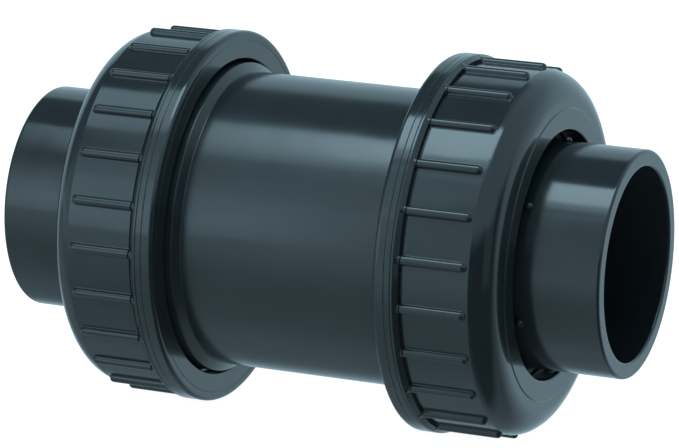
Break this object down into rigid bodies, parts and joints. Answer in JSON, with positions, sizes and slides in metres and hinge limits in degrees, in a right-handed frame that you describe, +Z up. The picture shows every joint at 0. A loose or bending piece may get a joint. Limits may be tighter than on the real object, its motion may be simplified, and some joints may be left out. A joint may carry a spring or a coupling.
{
  "type": "check valve",
  "caption": "True-union cone check valve: cylindrical body, ribbed union nut and pipe socket at each end, spring-loaded poppet inside.",
  "frame": {"origin": "the valve's centre, on the flow axis", "axes": "+X along the flow, from the inlet to the outlet; +Z up"},
  "size_m": [0.209, 0.124, 0.124],
  "materials": {
    "pvc_housing": "satin moulded PVC-U, dark blue-grey",
    "pvc_nut": "semi-gloss moulded PVC-U, dark blue-grey",
    "pvc_connector": "polished moulded PVC-U, dark blue-grey",
    "pvc_inner": "machined and moulded PVC-U, grey",
    "epdm": "black elastomer",
    "stainless": "drawn stainless steel",
    "ptfe": "off-white slide bush"
  },
  "bodies": {
    "housing": {"valve_body": "pvc_housing", "seat_carrier": "pvc_inner", "seat_carrier_o_ring": "epdm", "guide_spider": "pvc_inner", "guide_bush": "ptfe", "spider_retaining_ring": "pvc_inner", "rear_spring_washer": "stainless", "return_spring": "stainless"},
    "poppet": {"poppet_head": "pvc_inner", "poppet_stem": "pvc_inner", "poppet_seal": "epdm", "seal_retainer": "pvc_inner", "stem_clip": "stainless", "front_spring_washer": "stainless"},
    "outlet_end": {"outlet_end_connector": "pvc_connector", "outlet_face_o_ring": "epdm"},
    "outlet_nut": {"outlet_union_nut": "pvc_nut"},
    "inlet_end": {"inlet_end_connector": "pvc_connector", "inlet_face_o_ring": "epdm"},
    "inlet_nut": {"inlet_union_nut": "pvc_nut"}
  },
  "joints": [
    {"name": "poppet_lift", "type": "slide", "parent": "housing", "child": "poppet", "axis": [1, 0, 0], "range_m": [0, 0.014], "stiffness_N_per_m": 250, "springref_m": -0.028, "deforming": ["return_spring"]},
    {"name": "outlet_end_draw", "type": "slide", "parent": "housing", "child": "outlet_end", "axis": [1, 0, 0], "range_m": [0, 0.0181]},
    {"name": "outlet_nut_turn", "type": "hinge", "parent": "outlet_end", "child": "outlet_nut", "pos_m": [0.0575, 0, 0], "axis": [1, 0, 0], "range_deg": [0, 1080]},
    {"name": "inlet_end_draw", "type": "slide", "parent": "housing", "child": "inlet_end", "axis": [-1, 0, 0], "range_m": [0, 0.0181]},
    {"name": "inlet_nut_turn", "type": "hinge", "parent": "inlet_end", "child": "inlet_nut", "pos_m": [-0.0575, 0, 0], "axis": [-1, 0, 0], "range_deg": [0, 1080]}
  ],
  "couplings": [
    {"joint": "outlet_end_draw", "follows": "outlet_nut_turn", "m_per_rad": 0.00095493},
    {"joint": "inlet_end_draw", "follows": "inlet_nut_turn", "m_per_rad": 0.00095493}
  ]
}
